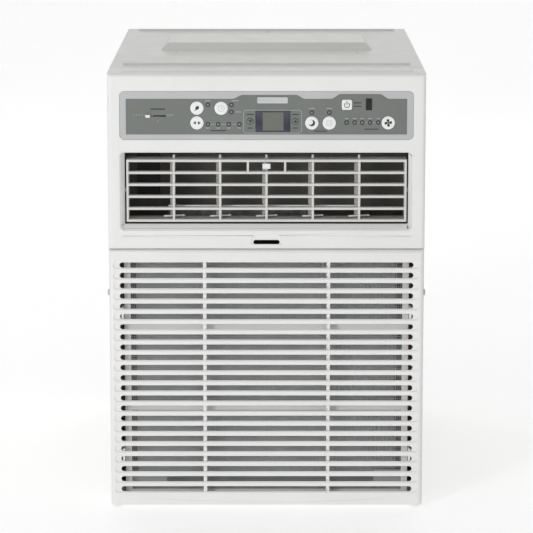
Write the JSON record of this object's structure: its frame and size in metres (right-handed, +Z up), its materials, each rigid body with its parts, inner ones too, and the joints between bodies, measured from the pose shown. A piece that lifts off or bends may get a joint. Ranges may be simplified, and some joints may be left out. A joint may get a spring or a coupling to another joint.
{
  "type": "window air conditioner",
  "caption": "Tall narrow window air conditioner with a slotted intake grille, tilting louver outlet and a control strip above it.",
  "frame": {"origin": "middle of the base, on the surface it stands on", "axes": "+Z up, the front with the controls faces -Y, +X is to the right seen from the front"},
  "size_m": [0.3704, 0.53, 0.5225],
  "materials": {
    "white_plastic": "satin moulded ABS",
    "white_parts": "satin moulded ABS",
    "silver_trim": "metallic silver paint",
    "label_grey": "satin printed film",
    "name_plate": "satin",
    "display": "tinted window over a grey LCD",
    "dark_window": "gloss",
    "lens": "gloss",
    "circuit_board": "satin solder mask",
    "button": "satin",
    "painted_steel": "semi-gloss powder coat",
    "galvanised": "galvanised",
    "steel": "plain",
    "aluminium_fins": "thin plain fins",
    "copper": "bright drawn copper",
    "tray_plastic": "matte",
    "black_plastic": "matte",
    "dark_plastic": "satin",
    "motor_paint": "satin",
    "compressor_paint": "gloss black enamel",
    "rubber": "matte",
    "filter_net": "fine woven net",
    "capacitor_can": "plain"
  },
  "bodies": {
    "chassis": {"front_panel": "white_plastic", "control_trim": "silver_trim", "control_label": "label_grey", "name_plate": "name_plate", "display_window": "display", "receiver_window": "dark_window", "indicator_lenses": "lens", "control_board": "circuit_board", "hinge_pins": "steel", "base_pan": "galvanised", "cabinet_shell": "painted_steel", "cabinet_screws": "steel", "rear_guard": "painted_steel", "bulkhead": "galvanised", "drip_tray": "tray_plastic", "evap_fins": "aluminium_fins", "evap_tubes": "copper", "evap_end_plates": "galvanised", "outlet_duct": "black_plastic", "blower_housing": "dark_plastic", "fan_motor": "motor_paint", "motor_bracket": "galvanised", "fan_shroud": "galvanised", "cond_fins": "aluminium_fins", "cond_tubes": "copper", "cond_end_plates": "galvanised", "compressor": "compressor_paint", "terminal_cover": "black_plastic", "comp_grommets": "rubber", "comp_studs": "steel", "suction_line": "copper", "discharge_line": "copper", "liquid_line": "copper", "control_box": "galvanised", "capacitor": "capacitor_can", "cord_gland": "black_plastic"},
    "grille": {"intake_grille": "white_plastic", "filter_frame": "white_parts", "filter_mesh": "filter_net"},
    "louver": {"louver_frame": "white_parts"},
    "vane_link": {"vane_link": "white_parts"},
    "exhaust_lever": {"exhaust_lever": "white_parts"},
    "exhaust_damper": {"exhaust_damper": "dark_plastic"},
    "fan_rotor": {"motor_shaft": "steel", "blower_wheel": "dark_plastic", "axial_fan": "dark_plastic"},
    "vane_1": {"vane_1": "white_parts"},
    "vane_2": {"vane_2": "white_parts"},
    "vane_3": {"vane_3": "white_parts"},
    "vane_4": {"vane_4": "white_parts"},
    "vane_5": {"vane_5": "white_parts"},
    "button_energy": {"button_energy": "button"},
    "button_mode": {"button_mode": "button"},
    "button_timer": {"button_timer": "button"},
    "button_sleep": {"button_sleep": "button"},
    "button_filter": {"button_filter": "button"},
    "button_fan": {"button_fan": "button"},
    "button_temp_up": {"button_temp_up": "button"},
    "button_temp_down": {"button_temp_down": "button"},
    "button_power": {"button_power": "button"}
  },
  "joints": [
    {"name": "grille_hinge", "type": "hinge", "parent": "chassis", "child": "grille", "pos_m": [0, -0.259, 0.008], "axis": [1, 0, 0], "range_deg": [0, 70]},
    {"name": "louver_tilt", "type": "hinge", "parent": "chassis", "child": "louver", "pos_m": [0, -0.247, 0.37665], "axis": [1, 0, 0], "range_deg": [-20, 20]},
    {"name": "vane_link_slide", "type": "slide", "parent": "louver", "child": "vane_link", "axis": [-1, 0, 0], "range_m": [-0.00762, 0.00167]},
    {"name": "vane_1_turn", "type": "hinge", "parent": "louver", "child": "vane_1", "pos_m": [-0.1076, -0.243, 0.37665], "axis": [0, 0, 1], "range_deg": [-41, 9]},
    {"name": "vane_2_turn", "type": "hinge", "parent": "louver", "child": "vane_2", "pos_m": [-0.0538, -0.243, 0.37665], "axis": [0, 0, 1], "range_deg": [-41, 9]},
    {"name": "vane_3_turn", "type": "hinge", "parent": "louver", "child": "vane_3", "pos_m": [0, -0.243, 0.37665], "axis": [0, 0, 1], "range_deg": [-41, 9]},
    {"name": "vane_4_turn", "type": "hinge", "parent": "louver", "child": "vane_4", "pos_m": [0.0538, -0.243, 0.37665], "axis": [0, 0, 1], "range_deg": [-41, 9]},
    {"name": "vane_5_turn", "type": "hinge", "parent": "louver", "child": "vane_5", "pos_m": [0.1076, -0.243, 0.37665], "axis": [0, 0, 1], "range_deg": [-41, 9]},
    {"name": "exhaust_slide", "type": "slide", "parent": "chassis", "child": "exhaust_lever", "axis": [1, 0, 0], "range_m": [0, 0.0198]},
    {"name": "exhaust_damper_turn", "type": "hinge", "parent": "chassis", "child": "exhaust_damper", "pos_m": [0, -0.103, 0.4047], "axis": [1, 0, 0], "range_deg": [0, 50.5]},
    {"name": "button_energy_press", "type": "slide", "parent": "chassis", "child": "button_energy", "axis": [0, 1, 0], "range_m": [0, 0.0009], "stiffness_N_per_m": 400, "springref_m": -0.001},
    {"name": "button_mode_press", "type": "slide", "parent": "chassis", "child": "button_mode", "axis": [0, 1, 0], "range_m": [0, 0.0009], "stiffness_N_per_m": 400, "springref_m": -0.001},
    {"name": "button_timer_press", "type": "slide", "parent": "chassis", "child": "button_timer", "axis": [0, 1, 0], "range_m": [0, 0.0009], "stiffness_N_per_m": 400, "springref_m": -0.001},
    {"name": "button_sleep_press", "type": "slide", "parent": "chassis", "child": "button_sleep", "axis": [0, 1, 0], "range_m": [0, 0.0009], "stiffness_N_per_m": 400, "springref_m": -0.001},
    {"name": "button_filter_press", "type": "slide", "parent": "chassis", "child": "button_filter", "axis": [0, 1, 0], "range_m": [0, 0.0009], "stiffness_N_per_m": 400, "springref_m": -0.001},
    {"name": "button_fan_press", "type": "slide", "parent": "chassis", "child": "button_fan", "axis": [0, 1, 0], "range_m": [0, 0.0009], "stiffness_N_per_m": 400, "springref_m": -0.001},
    {"name": "button_temp_up_press", "type": "slide", "parent": "chassis", "child": "button_temp_up", "axis": [0, 1, 0], "range_m": [0, 0.0009], "stiffness_N_per_m": 400, "springref_m": -0.001},
    {"name": "button_temp_down_press", "type": "slide", "parent": "chassis", "child": "button_temp_down", "axis": [0, 1, 0], "range_m": [0, 0.0009], "stiffness_N_per_m": 400, "springref_m": -0.001},
    {"name": "button_power_press", "type": "slide", "parent": "chassis", "child": "button_power", "axis": [0, 1, 0], "range_m": [0, 0.0009], "stiffness_N_per_m": 400, "springref_m": -0.001},
    {"name": "fan_spin", "type": "hinge", "parent": "chassis", "child": "fan_rotor", "pos_m": [0, 0, 0.215], "axis": [0, 1, 0], "continuous": true}
  ],
  "couplings": [
    {"joint": "vane_1_turn", "follows": "vane_link_slide", "rad_per_m": 93.859},
    {"joint": "vane_2_turn", "follows": "vane_link_slide", "rad_per_m": 93.859},
    {"joint": "vane_3_turn", "follows": "vane_link_slide", "rad_per_m": 93.859},
    {"joint": "vane_4_turn", "follows": "vane_link_slide", "rad_per_m": 93.859},
    {"joint": "vane_5_turn", "follows": "vane_link_slide", "rad_per_m": 93.859},
    {"joint": "exhaust_damper_turn", "follows": "exhaust_slide", "rad_per_m": 44.074}
  ]
}
